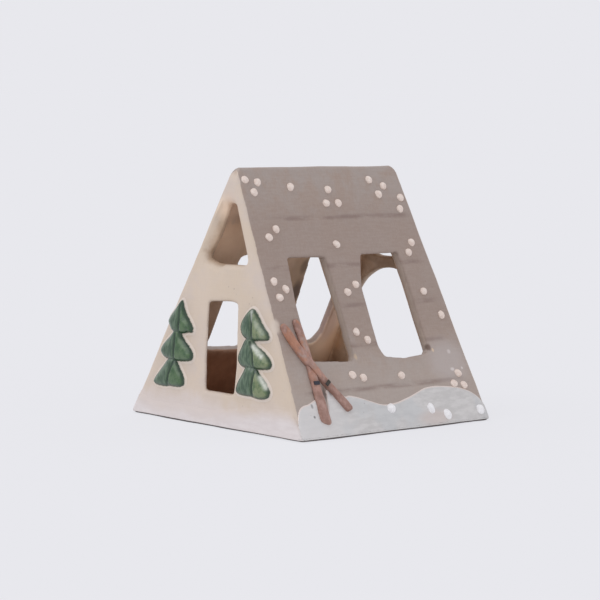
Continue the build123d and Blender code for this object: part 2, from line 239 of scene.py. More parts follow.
def mitre(side, end):
    """A place on the plane where a roof and a gable meet, and its direction towards the gable."""
    outer = Vector((side * BASE_WIDTH / 2, end * BASE_LENGTH / 2, 0))
    inner = Vector((side * (BASE_WIDTH / 2 - WALL_THICK * ROOF_SLOPE / APEX_HEIGHT),
                    end * (BASE_LENGTH / 2 - WALL_THICK * GABLE_SLOPE / APEX_HEIGHT), 0))
    upward = Vector((0, end * (BASE_LENGTH / 2 - GABLE_LEAN), APEX_HEIGHT)) - outer
    facing = (outer - inner).cross(upward).normalized()
    return outer, facing if facing.y * end > 0 else -facing


def kept_behind(shape, place, facing):
    """Cut a closed form, keep what lies behind the plane and close the cut."""
    cut = bmesh.ops.bisect_plane(shape, geom=[*shape.verts, *shape.edges, *shape.faces], plane_co=place,
                                 plane_no=facing, clear_outer=True)
    rim = [item for item in cut["geom_cut"] if isinstance(item, bmesh.types.BMEdge)]
    filled = bmesh.ops.triangle_fill(shape, edges=rim, use_beauty=True, normal=facing)
    for item in filled["geom"]:
        if isinstance(item, bmesh.types.BMFace):
            item.material_index = 1


def skin_of(body):
    """A lookup of the nearest spot on the clay body to a place, and of the body's smooth normal there."""
    surface = BVHTree.FromBMesh(body)
    body.faces.ensure_lookup_table()

    def nearest(place):
        spot, _, index, _ = surface.find_nearest(place)
        facing = Vector()
        for corner in body.faces[index].verts:
            facing += corner.normal * (1 / ((corner.co - spot).length + MERGE / 10))
        return spot, facing.normalized()
    return nearest


def wall_piece(body, nearest_skin, name, planes):
    """One wall cut from the clay body; its skin keeps the body's normals, so no seam shows."""
    shape = body.copy()
    for place, facing in planes:
        kept_behind(shape, place, facing)
    shape.normal_update()
    facings = [nearest_skin(point.co)[1] for point in shape.verts]
    cuts = [face.material_index == 1 for face in shape.faces]
    for face in shape.faces:
        face.material_index = 0
    slip = "taupe_stoneware" if "roof" in name else "cream_stoneware"
    piece = finished(shape, name + "_clay", "house", name)
    mesh = piece.data
    corners = [Vector()] * len(mesh.loops)
    for face, is_cut in zip(mesh.polygons, cuts):
        for corner in face.loop_indices:
            corners[corner] = face.normal if is_cut else facings[mesh.loops[corner].vertex_index]
    mesh.normals_split_custom_set(corners)
    return piece


def walls(body, nearest_skin):
    """The two roofs and the two gables, cut apart where their slabs meet."""
    ridge = Vector((0, 0, APEX_HEIGHT))
    planes = {}
    for side, name in ((1, "right_roof"), (-1, "left_roof")):
        planes[name] = [mitre(side, -1), mitre(side, 1), (ridge, Vector((-side, 0, 0)))]
    for end, name in ((-1, "front_gable"), (1, "back_gable")):
        planes[name] = [(place, -facing) for place, facing in (mitre(1, end), mitre(-1, end))]
    return [wall_piece(body, nearest_skin, name, cuts) for name, cuts in planes.items()]


# Faces of the house: places along a face, up its slope and out from it


def roof_face(side):
    """Matrix of a roof's outer face, x along the house, y up the slope and z out of the clay."""
    out = Vector((side * APEX_HEIGHT, 0, BASE_WIDTH / 2)).normalized()
    along = Vector((0, side, 0))
    return face_matrix(Vector((side * BASE_WIDTH / 2, 0, 0)), along, out)


def gable_face(end):
    """Matrix of a gable's outer face, x across the house, y up the wall and z out of the clay."""
    out = Vector((0, end * APEX_HEIGHT, GABLE_LEAN)).normalized()
    return face_matrix(Vector((0, end * BASE_LENGTH / 2, 0)), Vector((-end, 0, 0)), out)


def face_matrix(corner, along, out):
    """Matrix of a face through a corner, from its first and third directions."""
    turned = Matrix((along, out.cross(along), out)).transposed()
    return Matrix.Translation(corner) @ turned.to_4x4()


def curve_value(points, place):
    """A smooth curve through (place, value) points, read at one place."""
    if place <= points[0][0]:
        return points[0][1]
    if place >= points[-1][0]:
        return points[-1][1]
    index = max(number for number, point in enumerate(points[:-1]) if point[0] <= place)
    before, after = points[max(index - 1, 0)], points[min(index + 2, len(points) - 1)]
    (start, first), (end, second) = points[index:index + 2]
    share = (place - start) / (end - start)
    leaving = (second - before[1]) / (end - before[0]) * (end - start)
    arriving = (after[1] - first) / (after[0] - start) * (end - start)
    squared, cubed = share ** 2, share ** 3
    return ((2 * cubed - 3 * squared + 1) * first + (cubed - 2 * squared + share) * leaving
            + (3 * squared - 2 * cubed) * second + (cubed - squared) * arriving)


# Fir trees: puffy tiers under pooled glaze, with a rim of cream slip where they meet the wall
TREE_CELL = 0.00028
TREE_RELIEF = 0.0026
TREE_PUFF = 0.0046
TREE_RIM = 0.0014
TREE_RIM_RISE = 0.00035
TREE_ROOT = 0.0006
TREE_GRAIN = 0.0022
VEIN_WIDTH = 0.0007
VEIN_DEPTH = 0.0009
POOL_WIDTH = 0.0021
SUNNY_BLEND = 0.0024
TIER_STEP_SHARE = 0.10
FIR_MARKS = ("pool", "inset", "sunny", "painted_highlight")

# Each tier's outline and vein, lowest first, in millimetres across the gable's face and up it
LEFT_TREE = (
    ((-42.2, 16.2), (-39.6, 19.6), (-35.8, 23.6), (-32.6, 27.5), (-28.5, 28.0), (-25.4, 24.4), (-22.0, 20.6),
     (-20.4, 18.0), (-21.4, 15.1), (-27.0, 14.5), (-31.0, 14.7), (-33.0, 14.1), (-38.0, 14.1), (-41.2, 14.5)),
    ((-38.6, 30.2), (-36.4, 33.6), (-32.0, 37.2), (-29.5, 40.5), (-26.0, 40.5), (-24.0, 37.0), (-20.5, 34.4),
     (-17.2, 31.8), (-15.9, 29.6), (-17.0, 27.1), (-20.5, 26.5), (-26.0, 26.0), (-34.4, 26.4), (-37.4, 28.2)),
    ((-34.2, 43.6), (-32.8, 46.2), (-29.6, 49.6), (-26.6, 53.5), (-25.4, 53.2), (-22.9, 47.7), (-19.6, 44.5),
     (-17.3, 41.6), (-17.6, 39.2), (-20.5, 39.3), (-24.0, 38.3), (-30.8, 38.4), (-33.2, 41.4)),
)
LEFT_VEINS = (((-28.2, 25.6), (-30.6, 20.0), (-31.4, 13.6)), ((-27.6, 38.0), (-27.9, 26.4)),
              ((-26.2, 53.6), (-25.2, 44.0), (-25.6, 38.6)))
RIGHT_TREE = (
    ((13.3, 18.2), (14.4, 21.5), (16.8, 25.2), (19.0, 29.5), (24.0, 29.5),
     (28.5, 25.6), (32.6, 22.6), (35.0, 19.8), (35.3, 17.8), (34.0, 16.2),
     (31.0, 15.3), (27.0, 15.1), (24.0, 15.8), (18.0, 15.7), (13.9, 16.2)),
    ((13.4, 31.0), (13.7, 33.6), (15.4, 36.8), (17.6, 41.0), (22.0, 41.5),
     (24.4, 38.0), (29.5, 36.0), (33.6, 33.2), (35.4, 30.6), (34.4, 28.6),
     (30.5, 27.9), (25.5, 27.6), (17.0, 27.6), (14.6, 28.8)),
    ((13.6, 44.8), (14.4, 47.8), (16.6, 51.0), (19.4, 53.5), (22.0, 53.2),
     (25.0, 50.2), (28.0, 46.6), (31.2, 44.2), (32.8, 42.0), (31.4, 40.4),
     (27.0, 40.0), (22.5, 39.4), (17.4, 39.8), (15.0, 41.4)),
)
RIGHT_VEINS = (((25.4, 27.0), (24.6, 21.0), (25.4, 15.0)), ((21.6, 39.0), (24.0, 34.0), (24.8, 27.8)),
               ((20.8, 54.0), (22.4, 46.0), (22.6, 39.6)))

# Painted highlights on the right fir's glaze, white where its lobes catch the light: a line, its width and
# its strength
RIGHT_HIGHLIGHT_STROKES = ((((20.9, 52.6), (22.6, 47.6)), 0.5, 0.6), (((23.6, 37.4), (29.6, 33.6)), 1.1, 0.9),
                 (((28.8, 25.0), (33.4, 20.6)), 0.9, 0.9), (((24.5, 47.5), (29.0, 43.2)), 1.3, 0.25))


def distance_to_line(spots, line, closed=False):
    """How far each of many places in a plane lies from a bent line."""
    start = line if closed else line[:-1]
    run = (np.roll(line, -1, axis=0) if closed else line[1:]) - start
    ahead = spots[:, None] - start
    share = np.clip((ahead * run).sum(2) / (run ** 2).sum(1), 0, 1)
    away = ahead - share[..., None] * run
    return np.hypot(away[..., 0], away[..., 1]).min(1)


def depth_inside(spots, outline):
    """How far each place lies inside a closed outline; outside it the depth is negative."""
    start, end = outline, np.roll(outline, -1, axis=0)
    height = spots[:, None, 1]
    crosses = (start[:, 1] > height) != (end[:, 1] > height)
    climb = np.where(end[:, 1] == start[:, 1], 1, end[:, 1] - start[:, 1])
    meets = start[:, 0] + (height - start[:, 1]) / climb * (end[:, 0] - start[:, 0])
    inside = (crosses & (spots[:, None, 0] < meets)).sum(1) % 2 == 1
    away = distance_to_line(spots, outline, closed=True)
    return np.where(inside, away, -away)


def rounded_outline(points, cuts=3):
    """A closed outline with its corners cut again and again until it is smooth."""
    line = np.array(points) * MILLIMETRE
    for _ in range(cuts):
        after = np.roll(line, -1, axis=0)
        line = np.stack([line * 0.75 + after * 0.25, line * 0.25 + after * 0.75], axis=1).reshape(-1, 2)
    return line


def fir_tree(name, tiers, veins, strokes):
    """A fir as clay relief: a fine grid on the gable's face, raised tier by tier and closed behind."""
    outlines = [rounded_outline(points) for points in tiers]
    every = np.concatenate(outlines)
    low, high = every.min(0) - 2 * TREE_RIM, every.max(0) + 2 * TREE_RIM
    steps = np.ceil((high - low) / TREE_CELL).astype(int)
    shape = bmesh.new()
    bmesh.ops.create_grid(shape, x_segments=int(steps[0]), y_segments=int(steps[1]), size=0.5)
    flat = np.array([point.co.xy for point in shape.verts])
    spots = low + (flat + 0.5) * (high - low)
    rise = np.full(len(spots), -TREE_ROOT)
    pool, sunny, painted_highlight = (np.zeros(len(spots)) for _ in range(3))
    nearest = np.full(len(spots), -1.0)
    for number, (outline, vein) in enumerate(zip(outlines, veins)):
        depth = depth_inside(spots, outline)
        nearest = np.maximum(nearest, depth)
        share = np.clip(depth / TREE_PUFF, 0, 1)
        puff = np.sqrt(np.clip(1 - (1 - share) ** 2, 0, 1)) * TREE_RELIEF * (1 + TIER_STEP_SHARE * number)
        groove = np.exp(-(distance_to_line(spots, np.array(vein) * MILLIMETRE) / VEIN_WIDTH) ** 2)
        puff = np.where(depth > 0, puff - VEIN_DEPTH * groove * share, -TREE_ROOT)
        pooled = np.maximum(groove, 1 - np.clip(depth / POOL_WIDTH, 0, 1))
        line = np.array(vein)[np.argsort([height for _, height in vein])] * MILLIMETRE
        middle = np.interp(spots[:, 1], line[:, 1], line[:, 0])
        right_of = np.clip((spots[:, 0] - middle) / SUNNY_BLEND + 0.5, 0, 1)
        pool = np.where(puff > rise, pooled, pool)
        sunny = np.where(puff > rise, right_of, sunny)
        rise = np.maximum(rise, puff)
    skirt = np.clip(1 + nearest / TREE_RIM, 0, 1)
    rim = TREE_RIM_RISE * skirt * skirt * (3 - 2 * skirt) - TREE_ROOT * (1 - np.clip(skirt * 4, 0, 1))
    rise = np.maximum(rise, np.where(nearest > -TREE_RIM, rim, -TREE_ROOT))
    face = gable_face(-1)
    out = face.to_3x3().col[2]
    for stroke, width, strength in strokes:
        away = distance_to_line(spots, np.array(stroke) * MILLIMETRE) / MILLIMETRE
        painted_highlight = np.maximum(painted_highlight, strength * np.exp(-(away / width) ** 2))
    layers = [shape.verts.layers.float.new(word) for word in FIR_MARKS]
    values = np.stack([pool, nearest, sunny, painted_highlight], axis=1)
    for point, spot, up, row in zip(shape.verts, spots, rise, values):
        place = face @ Vector((spot[0], spot[1], 0))
        point.co = place + out * (up + hand_wave(place) + FINE_DEPTH * noise.noise(place / TREE_GRAIN))
        for layer, value in zip(layers, row):
            point[layer] = value
    spare = [point for point, inset in zip(shape.verts, nearest) if inset < -TREE_RIM - TREE_CELL]
    bmesh.ops.delete(shape, geom=spare, context="VERTS")
    closed_behind(shape, -out * TREE_ROOT)
    return finished(shape, name + "_relief", "house", name)


def closed_behind(shape, shift):
    """Give an open sheet a back and sides, so that it is a closed piece set into the wall."""
    made = bmesh.ops.extrude_face_region(shape, geom=shape.faces[:], use_keep_orig=True)
    moved = [item for item in made["geom"] if isinstance(item, bmesh.types.BMVert)]
    bmesh.ops.translate(shape, verts=moved, vec=shift)
    bmesh.ops.recalc_face_normals(shape, faces=shape.faces)


# Skis, and the dark strokes that stand for their bindings
SKI_VOXEL = 0.0003
BINDING_VOXEL = 0.00014
CARVED_SMOOTHING = 5
SKI_WAVE = 0.005
SKI_WAVE_DEPTH = 0.00022
BINDING_STEP = Vector((-0.0011, 0.0005, 0))

# A ski's middle line is read from slices across it, all but a few at its ends
SLICES = 24
SPARE_SLICES = 3
SLICE_HALF = 0.0008
BEND_DEGREE = 3

# Each ski's own cut, as rows of its share of the height from tail to tip, its width against the solid and
# its step to the right in metres
UPRIGHT_CUT = ((0.0, 1.30, 0.00045), (0.10, 1.34, 0.00045), (0.22, 1.20, 0.0003), (0.36, 1.0, 0.0),
               (0.80, 1.0, 0.0), (0.93, 0.92, 0.0), (1.0, 0.58, -0.0004))
CROSSING_CUT = ((0.0, 1.0, 0.0), (0.08, 0.96, 0.0001), (0.18, 0.80, 0.0002), (0.38, 0.80, -0.0001),
                (0.56, 1.0, 0.0), (0.80, 0.96, 0.0), (0.92, 0.84, -0.0002), (1.0, 0.50, -0.0008))
TAIL_SLANT = 0.30
TAIL_SHARE = 0.14


def waisted(shape, cut):
    """A ski narrowed at the waist and the tip, and widened at the tail, about its own middle line."""
    face = roof_face(1)
    to_face = face.inverted()
    places = np.array([to_face @ point.co for point in shape.verts])
    low, high = places[:, 1].min(), places[:, 1].max()
    heights = np.linspace(low, high, SLICES)[SPARE_SLICES:-SPARE_SLICES]
    rows = [places[abs(places[:, 1] - height) < SLICE_HALF, 0] for height in heights]
    middle = np.polyfit(heights, [(row.min() + row.max()) / 2 for row in rows], BEND_DEGREE)
    for point, place in zip(shape.verts, places):
        share = (place[1] - low) / (high - low)
        centre = np.polyval(middle, place[1])
        width = curve_value([(at, wide) for at, wide, _ in cut], share)
        step = curve_value([(at, aside) for at, _, aside in cut], share)
        across = (place[0] - centre) * width
        slant = TAIL_SLANT * across * max(0.0, 1 - share / TAIL_SHARE)
        point.co = face @ Vector((centre + across + step, place[1] - slant, place[2]))
    return shape


def ski(name, cut):
    """A clay strip with soft edges and an uneven hand-rolled face."""
    shape = waisted(softened(remeshed(merged_copy(name), SKI_VOXEL), CARVED_SMOOTHING), cut)
    for point in shape.verts:
        wave = noise.noise(point.co / SKI_WAVE + Vector((0.2, 4.4, 2.6)))
        point.co += point.normal * SKI_WAVE_DEPTH * wave
    return finished(shape, name + "_strip", "house", name)


def bindings():
    """Two soft dark strokes, the rear one moved to its place in the photo."""
    shape = softened(remeshed(merged_copy("ski_bindings"), BINDING_VOXEL), CARVED_SMOOTHING)
    lumps = sorted(islands(shape), key=lambda lump: sum(point.co.y for point in lump) / len(lump))
    for point in lumps[-1]:
        point.co += roof_face(1).to_3x3() @ BINDING_STEP
    return finished(shape, "binding_strokes", "house", "ski_bindings")


# Drops of white slip: soft blobs with the small peak that a slip trailer leaves, each a little different
DROP_RADIUS = 0.00185
DROP_RISE = 0.00135
DROP_SUNK = -0.45
DROP_PEAK = 0.18
DROP_STRETCH = 0.16
DROP_TURN = 3
DROP_LEAN = 0.0008
DROP_RAGGED = 0.10
DROP_GRAIN = 0.00006
DROP_SPACING = 0.0031
SIDE_SEED = 0.03

# Drops that sit on a drift are larger and stand higher
DRIFT_DROP_SCALE = 1.25
DRIFT_DROP_TOP = 0.0130
DRIFT_DROP_LIFT = 0.0012


def islands(shape):
    """The separate lumps of a bmesh, each as a list of its points."""
    seen = set()
    for first in shape.verts:
        if first in seen:
            continue
        lump, waiting = [], [first]
        seen.add(first)
        while waiting:
            point = waiting.pop()
            lump.append(point)
            for edge in point.link_edges:
                other = edge.other_vert(point)
                if other not in seen:
                    seen.add(other)
                    waiting.append(other)
        yield lump


def snow_drops(name, side):
    """One blob in the place of each of the solid drops."""
    face = roof_face(side)
    to_face = face.inverted()
    solids = merged_copy(name)
    places = [to_face @ (sum((point.co for point in lump), Vector()) / len(lump)) for lump in islands(solids)]
    solids.free()
    shape = bmesh.new()
    for place in places:
        flat = Vector((place.x, place.y, 0))
        seed = Vector((place.x, place.y, side * SIDE_SEED)) / DROP_SPACING
        stretch = 1 + DROP_STRETCH * noise.noise(seed)
        turn = DROP_TURN * noise.noise(seed + Vector((7, 1, 4)))
        lean = Vector((noise.noise(seed + Vector((2, 9, 5))), noise.noise(seed + Vector((8, 3, 3))), 0))
        size = DRIFT_DROP_SCALE if place.y < DRIFT_DROP_TOP else 1
        lift = hand_wave(face @ flat) + (size - 1) * DRIFT_DROP_LIFT
        for point in bmesh.ops.create_icosphere(shape, subdivisions=4, radius=1)["verts"]:
            up = max(point.co.z, DROP_SUNK)
            above = max(up, 0)
            ragged = 1 + DROP_RAGGED * noise.noise(seed * 3 + point.co * 1.3)
            spot = Vector((point.co.x * stretch, point.co.y / stretch, 0)) * DROP_RADIUS * size * ragged
            spot = Matrix.Rotation(turn, 3, "Z") @ spot + lean * DROP_LEAN * above ** 2
            spot.z = up * DROP_RISE * (1 + DROP_PEAK * above ** 6) + lift
            spot.z += DROP_GRAIN * noise.noise(flat / MILLIMETRE + point.co * 1.7)
            point.co = face @ (flat + spot)
    return finished(shape, name + "_slip", "house", name)


# Snow glaze: thin skins that follow the clay, wrap its corners and end in a wandering crest
SKIN_CELL = 0.0004
SKIN_THICK = 0.00045
SKIN_EDGE = 0.0011
BANK_EDGE = 0.0030
SKIN_SUNK = 0.0006
SKIN_REACH = 0.003
SKIN_MARGIN = 0.002
SKIN_WAVE = 0.006
SKIN_WAVE_SHARE = 0.35
SKIN_FOOT = 0.0003

# Crests: place along the foot and height up the face, in millimetres
DRIFT_CREST = in_metres((
    (-60, 9.5), (-56.6, 12.7), (-54.3, 14.8), (-51.9, 16.1), (-48.6, 16.7), (-44.5, 18.2), (-41.8, 19),
    (-40.1, 17.2), (-38.9, 12.2), (-37.8, 15), (-36.4, 20.8), (-34.8, 21.9), (-31, 20.5),
    (-26.2, 18.4), (-24.3, 18.7), (-18.4, 17.3), (-12.8, 15.3), (-7.8, 13.6), (-3.1, 12.9),
    (2.8, 13.3), (9.2, 14.7), (15.9, 16.6), (21.7, 18.4), (26.2, 18.8), (30.5, 18.8), (37.1, 18.1),
    (43.6, 17.1), (48.9, 15.3), (53.1, 12.7), (56.3, 10), (60, 7.5)))
SKI_NOTCH = (-0.0420, -0.0300)
BANK_CREST = in_metres((
    (-60, 10), (-50.5, 9.7), (-40.7, 7.3), (-20.7, 7.9), (-2.4, 7.5), (15, 10.3), (30, 11.8),
    (44.5, 12.9), (54, 10.8), (60, 10)))


def snow_skin(name, node_name, face, half_width, narrowing, crest, edge, nearest_skin):
    """A glaze skin on one face from corner to corner, thinning away beyond its crest."""
    highest = max(height for _, height in crest) + SKIN_MARGIN
    shape = bmesh.new()
    bmesh.ops.create_grid(shape, x_segments=round(2 * half_width / SKIN_CELL),
                          y_segments=round(highest / SKIN_CELL), size=0.5)
    layer = shape.verts.layers.float.new("inset")
    for point in shape.verts:
        up = (point.co.y + 0.5) * highest
        along = point.co.x * 2 * (half_width - narrowing * up + SKIN_REACH)
        spot, facing = nearest_skin(face @ Vector((along, up, SKIN_REACH)))
        inset = curve_value(crest, along) - up
        wave = 1 + SKIN_WAVE_SHARE * noise.noise(spot / SKIN_WAVE)
        cover = smoothly(inset, -edge, edge) * (SKIN_THICK * wave + SKIN_SUNK)
        point.co = spot + facing * (cover - SKIN_SUNK)
        point.co.z = max(point.co.z, SKIN_FOOT)
        point[layer] = inset
    closed_behind(shape, face.to_3x3().col[2] * -SKIN_SUNK)
    return finished(shape, name, "house", node_name)


def snow(nearest_skin):
    """The drifts along the feet of both roofs, and the bank along the front gable's."""
    plain_crest = [spot for spot in DRIFT_CREST if not SKI_NOTCH[0] < spot[0] < SKI_NOTCH[1]]
    turned_crest = [(-along, height) for along, height in reversed(plain_crest)]
    roof = (BASE_LENGTH / 2, GABLE_LEAN / ROOF_SLOPE)
    gable = (BASE_WIDTH / 2, BASE_WIDTH / 2 / GABLE_SLOPE)
    skins = (("drift_right_glaze", "snow_drift_right", roof_face(1), *roof, DRIFT_CREST, SKIN_EDGE),
             ("drift_left_glaze", "snow_drift_left", roof_face(-1), *roof, turned_crest, SKIN_EDGE),
             ("bank_front_glaze", "snow_bank_front", gable_face(-1), *gable, BANK_CREST, BANK_EDGE))
    return [snow_skin(*skin, nearest_skin) for skin in skins]


# Tealight cup: steps round it, flutes and how they end below and above, dished foot, foil and rolled rim
CUP_STEPS = 448
CUP_FLUTES = 56
CUP_FLUTE_DEPTH = 0.00016
FLUTE_ENDS = (0.002, 0.0006)
CUP_BEND = 0.0009
CUP_DISH = 0.0004
CUP_DISH_SHARES = (0.72, 0.76)
CUP_FLOOR = 0.0008
FOIL_THICK = 0.00022
RIM_RADIUS = 0.00042
RIM_NECK = (2.2, 0.5)

# Wax: it climbs a little at the cup and dips at the wick; shares of its radius where its top has points
WAX_STEPS = 128
WAX_CLIMB = 0.0006
WAX_CLIMB_POWER = 14
WAX_DIP = 0.0005
WAX_DIP_RADIUS = 0.0022
WAX_GAP = 0.00003
WAX_FOOT = 0.0002
WAX_SHARES = (0, 0.03, 0.06, 0.1, 0.15, 0.2, 0.3, 0.5, 0.7, 0.8, 0.86, 0.9, 0.93, 0.96, 0.98, 1.0)

# Wick: turns of its plait, steps up it and round it, strands, and a slight lean of its tip
WICK_TURNS = 5.0
WICK_STEPS = 90
WICK_SIDES = 24
WICK_SHARE = 0.94
WICK_TIP_SHARE = 0.7
WICK_TIP = 0.0002
PLAIT_STRANDS = 1.5
PLAIT_DEPTH = 0.16
LEAN_FROM = 0.7
LEAN_SHARE = 0.04


def extent(name):
    """A CAD node's lowest and highest corners."""
    return [Vector(corner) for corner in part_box(name)]


def cup_middle():
    """The tealight's axis, where it meets the table."""
    low, high = extent("tealight_cup")
    return Vector(((low.x + high.x) / 2, (low.y + high.y) / 2, 0))


def turned(profile, steps, middle):
    """A closed form spun from a profile of (radius, height) points whose ends lie on the axis."""
    shape = bmesh.new()
    points = [shape.verts.new((radius, 0, height)) for radius, height in profile]
    edges = [shape.edges.new(pair) for pair in zip(points, points[1:])]
    bmesh.ops.spin(shape, geom=points + edges, cent=(0, 0, 0), axis=(0, 0, 1), angle=2 * pi, steps=steps,
                   use_merge=True)
    bmesh.ops.remove_doubles(shape, verts=shape.verts, dist=MERGE)
    bmesh.ops.recalc_face_normals(shape, faces=shape.faces)
    bmesh.ops.translate(shape, verts=shape.verts, vec=middle)
    return shape


def arc(radius, height, bend, first, last, steps):
    """Profile points round a middle, from one angle to another in degrees."""
    angles = [radians(first + (last - first) * step / steps) for step in range(steps + 1)]
    return [(radius + bend * cos(angle), height + bend * sin(angle)) for angle in angles]


def foil_cup():
    """A pressed cup with a dished foot, fluted sides and a rolled rim."""
    low, high = extent("tealight_cup")
    middle, bore = cup_middle(), wax_radius()
    foot, roll = low.z, high.z - RIM_RADIUS
    wall, out = bore + FOIL_THICK, (high.x - low.x) / 2 - RIM_RADIUS
    dish, step = (bore * share for share in CUP_DISH_SHARES)
    profile = [(0, foot + CUP_DISH), (dish, foot + CUP_DISH), (step, foot), (wall - CUP_BEND, foot)]
    profile += arc(wall - CUP_BEND, foot + CUP_BEND, CUP_BEND, -75, 0, 5)
    profile += [(wall, foot + (roll - foot) * share / 8) for share in range(1, 8)]
    profile += [(out - RIM_NECK[0] * RIM_RADIUS, roll - RIM_NECK[1] * RIM_RADIUS)]
    profile += arc(out, roll, RIM_RADIUS, -90, 180, 12)
    profile += [(bore, roll - RIM_RADIUS), (bore, foot + CUP_FLOOR), (0, foot + CUP_FLOOR)]
    cup = turned(profile, CUP_STEPS, middle)
    for point in cup.verts:
        spot = point.co - middle
        flat = hypot(spot.x, spot.y)
        if flat > bore + FOIL_THICK / 2 and spot.z < roll - RIM_RADIUS:
            share = smoothly(spot.z, foot, foot + FLUTE_ENDS[0])
            share *= 1 - smoothly(spot.z, roll - FLUTE_ENDS[0], roll - FLUTE_ENDS[1])
            flute = CUP_FLUTE_DEPTH * share * cos(CUP_FLUTES * Vector((1, 0)).angle_signed(spot.xy, 0))
            point.co += Vector((spot.x, spot.y, 0)) / flat * flute
    return finished(cup, "foil_cup", "tealight", "tealight_cup")


def wax_radius():
    """The wax's radius, which is the cup's bore as well."""
    low, high = extent("tealight_wax")
    return (high.x - low.x) / 2


def wax_cake():
    """Poured wax: level, dipped round the wick and drawn up a little at the cup."""
    low, high = extent("tealight_wax")
    reach, top = wax_radius() - WAX_GAP, high.z - WAX_CLIMB
    profile = [(0, low.z + WAX_FOOT), (reach, low.z + WAX_FOOT)]
    for share in reversed(WAX_SHARES):
        dip = WAX_DIP * exp(-(share * reach / WAX_DIP_RADIUS) ** 2)
        profile.append((reach * share, top + WAX_CLIMB * share ** WAX_CLIMB_POWER - dip))
    return finished(turned(profile, WAX_STEPS, cup_middle()), "wax_cake", "tealight", "tealight_wax")


def plaited_wick():
    """A stiff waxed wick whose strands cross, leaning a little at its tip."""
    low, high = extent("tealight_wick")
    middle = cup_middle()
    thick, height = (high.x - low.x) / 2, high.z - low.z
    sides = [(thick * WICK_SHARE, height * step / WICK_STEPS) for step in range(WICK_STEPS)]
    plait = turned([(0, 0), *sides, (thick * WICK_TIP_SHARE, height - WICK_TIP), (0, height)], WICK_SIDES,
                   Vector())
    for point in plait.verts:
        spot = point.co.copy()
        if hypot(spot.x, spot.y) > thick / 4:
            around = PLAIT_STRANDS * Vector((1, 0)).angle_signed(spot.xy, 0)
            climb = spot.z / height * 2 * pi * WICK_TURNS
            ridge = abs(sin(around + climb)) + abs(sin(around - climb))
            spot.xy *= 1 - PLAIT_DEPTH * (1 - ridge / 2)
        lean = smoothly(spot.z, height * LEAN_FROM, height) * thick * LEAN_SHARE
        point.co = spot + middle + Vector((lean, 0, low.z))
    return finished(plait, "plaited_wick", "tealight", "tealight_wick")


# Materials: a wire carries a value between shader nodes, and arithmetic on wires places maths nodes


class Wire:
    """An output of a shader node; a sum, difference or product with it is a new node in its tree."""

    def __init__(self, socket):
        self.socket = socket

    def __add__(self, other):
        return maths("ADD", self, other)

    def __sub__(self, other):
        return maths("SUBTRACT", self, other)

    def __rsub__(self, other):
        return maths("SUBTRACT", other, self)

    def __mul__(self, other):
        return maths("MULTIPLY", self, other)


def feed(tree, made, inputs):
    """Give each input of a node its wire or its constant."""
    for name, value in inputs.items():
        if isinstance(value, Wire):
            tree.links.new(value.socket, made.inputs[name])
        else:
            made.inputs[name].default_value = value


def node(kind, inputs, output=0, **settings):
    """One output of a new shader node, which joins the tree that its wires come from."""
    tree = next(value.socket.id_data for value in inputs.values() if isinstance(value, Wire))
    made = tree.nodes.new("ShaderNode" + kind)
    for name, value in settings.items():
        setattr(made, name, value)
    feed(tree, made, inputs)
    return Wire(made.outputs[output])


def maths(operation, *values):
    return node("Math", dict(enumerate(values)), operation=operation)


def vectors(operation, *values, output=0):
    return node("VectorMath", dict(enumerate(values)), output, operation=operation)


def mixed(share, first, second):
    """One colour turning into another as the share goes from 0 to 1; each is a wire or as on screen."""
    first, second = (shade if isinstance(shade, Wire) else colour(*shade) for shade in (first, second))
    return node("Mix", {0: share, 6: first, 7: second}, 2, data_type="RGBA")


def fade(value, low, high):
    """0 where a value is under low, 1 where it is over high, and an even curve between."""
    return node("MapRange", {"Value": value, "From Min": low, "From Max": high},
                interpolation_type="SMOOTHSTEP")


def noisy(place, scale, detail=3.0, roughness=0.55):
    return node("TexNoise", {"Vector": place, "Scale": scale, "Detail": detail, "Roughness": roughness})


def axes(place):
    """A place's three coordinates: across the house, along it and up."""
    return [Wire(part) for part in node("SeparateXYZ", {0: place}).socket.node.outputs]


def attribute(place, name):
    """A value that a piece's own points carry, in the tree that the place belongs to."""
    made = place.socket.id_data.nodes.new("ShaderNodeAttribute")
    made.attribute_name = name
    return Wire(made.outputs["Fac"])


def between(value, low, high, soft):
    """1 where a value lies between two others, with soft ends."""
    return fade(value, low - soft, low + soft) * (1 - fade(value, high - soft, high + soft))


def colour(red, green, blue):
    """A colour written as it shows on screen, 0 to 255, in the scene's linear light."""
    def linear(value):
        value /= 255
        return value / 12.92 if value < 0.04045 else ((value + 0.055) / 1.055) ** 2.4
    return linear(red), linear(green), linear(blue), 1.0


# Plank lines pressed into the roofs, drawn as painted shade along their grooves: heights in metres, a line's
# core and where it ends
PLANK_HEIGHTS = (0.0905, 0.0700, 0.0529, 0.0365, 0.0187)
PLANK_CORE = 0.0002
PLANK_BAND = 0.0016
